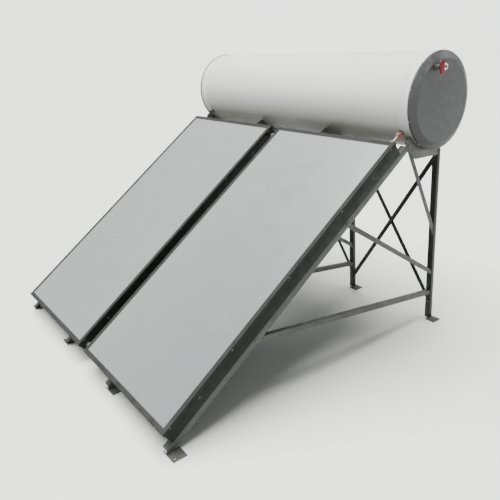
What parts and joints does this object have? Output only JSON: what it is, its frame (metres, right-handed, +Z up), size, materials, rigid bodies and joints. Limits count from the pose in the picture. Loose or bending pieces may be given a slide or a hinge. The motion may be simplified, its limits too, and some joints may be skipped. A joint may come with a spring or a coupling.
{
  "type": "solar water heater",
  "caption": "Thermosiphon solar water heater: sloping flat-plate collectors under a horizontal cylindrical storage tank, on a braced angle-steel floor stand.",
  "frame": {"origin": "centre of the bounding box on the ground plane, under the feet", "axes": "+Z up, +X along the tank towards the end with the relief valve and hot outlet, +Y to the back, where the rear legs stand; the collectors face -Y and up"},
  "size_m": [2.278, 2.2714, 1.7616],
  "materials": {
    "stand_steel": "galvanised angle steel under worn dark grey paint",
    "brace_steel": "dark painted steel, satin",
    "jacket_paint": "cream-white coil-coated sheet, semi-gloss",
    "cap_plastic": "moulded dark grey plastic, satin",
    "casing_paint": "near-black painted sheet, satin",
    "bezel_aluminium": "mid-grey painted aluminium angle",
    "solar_glass": "pale grey prismatic solar glass, soft reflections",
    "mineral_wool": "yellow mineral wool board",
    "copper": null,
    "brass": "plain brass fitting, lightly tarnished",
    "vessel_steel": "enamelled steel pressure vessel",
    "magnesium": null,
    "foam": "rigid polyurethane foam",
    "white_plastic": "white moulded plastic sleeve",
    "red_plastic": "red moulded plastic, semi-gloss"
  },
  "bodies": {
    "heater": {"sloping_rail_1": "stand_steel", "rear_leg_1": "brace_steel", "base_brace_1": "stand_steel", "diagonal_strut_1": "stand_steel", "upper_strut_1": "stand_steel", "tank_cradle_1": "stand_steel", "front_foot_1": "stand_steel", "rear_foot_1": "stand_steel", "sloping_rail_2": "stand_steel", "rear_leg_2": "brace_steel", "base_brace_2": "stand_steel", "diagonal_strut_2": "stand_steel", "tank_cradle_2": "stand_steel", "front_foot_2": "stand_steel", "rear_foot_2": "stand_steel", "sloping_rail_3": "stand_steel", "rear_leg_3": "brace_steel", "base_brace_3": "stand_steel", "diagonal_strut_3": "stand_steel", "tank_cradle_3": "stand_steel", "front_foot_3": "stand_steel", "rear_foot_3": "stand_steel", "sloping_rail_4": "stand_steel", "rear_leg_4": "brace_steel", "base_brace_4": "stand_steel", "diagonal_strut_4": "stand_steel", "upper_strut_4": "stand_steel", "tank_cradle_4": "stand_steel", "front_foot_4": "stand_steel", "rear_foot_4": "stand_steel", "cross_brace_1_a": "brace_steel", "cross_brace_1_b": "brace_steel", "cross_brace_2_a": "brace_steel", "cross_brace_2_b": "brace_steel", "cross_brace_3_a": "brace_steel", "cross_brace_3_b": "brace_steel", "collector_casing_left": "casing_paint", "glazing_frame_left": "bezel_aluminium", "solar_glass_left": "solar_glass", "back_insulation_left": "mineral_wool", "absorber_harp_left": "copper", "collector_casing_right": "casing_paint", "glazing_frame_right": "bezel_aluminium", "solar_glass_right": "solar_glass", "back_insulation_right": "mineral_wool", "absorber_harp_right": "copper", "header_union_lower": "brass", "header_union_upper": "brass", "inner_tank": "vessel_steel", "anode_rod": "magnesium", "foam_insulation": "foam", "tank_jacket": "jacket_paint", "end_cap_right": "cap_plastic", "end_cap_left": "cap_plastic", "hot_outlet": "white_plastic", "relief_valve_body": "brass", "riser_pipe": "brass", "downcomer_pipe": "copper"},
    "test_lever": {"relief_valve_lever": "red_plastic"},
    "valve_spindle": {"relief_valve_spindle": "brass"}
  },
  "joints": [
    {"name": "lever_hinge", "type": "hinge", "parent": "heater", "child": "test_lever", "pos_m": [1.127, 0.76172, 1.70363], "axis": [0, -1, 0], "range_deg": [0, 80], "stiffness_Nm_per_rad": 0.05},
    {"name": "spindle_lift", "type": "slide", "parent": "heater", "child": "valve_spindle", "axis": [1, 0, 0], "range_m": [0, 0.003]}
  ],
  "couplings": [
    {"joint": "spindle_lift", "follows": "lever_hinge", "m_per_rad": 0.002}
  ]
}
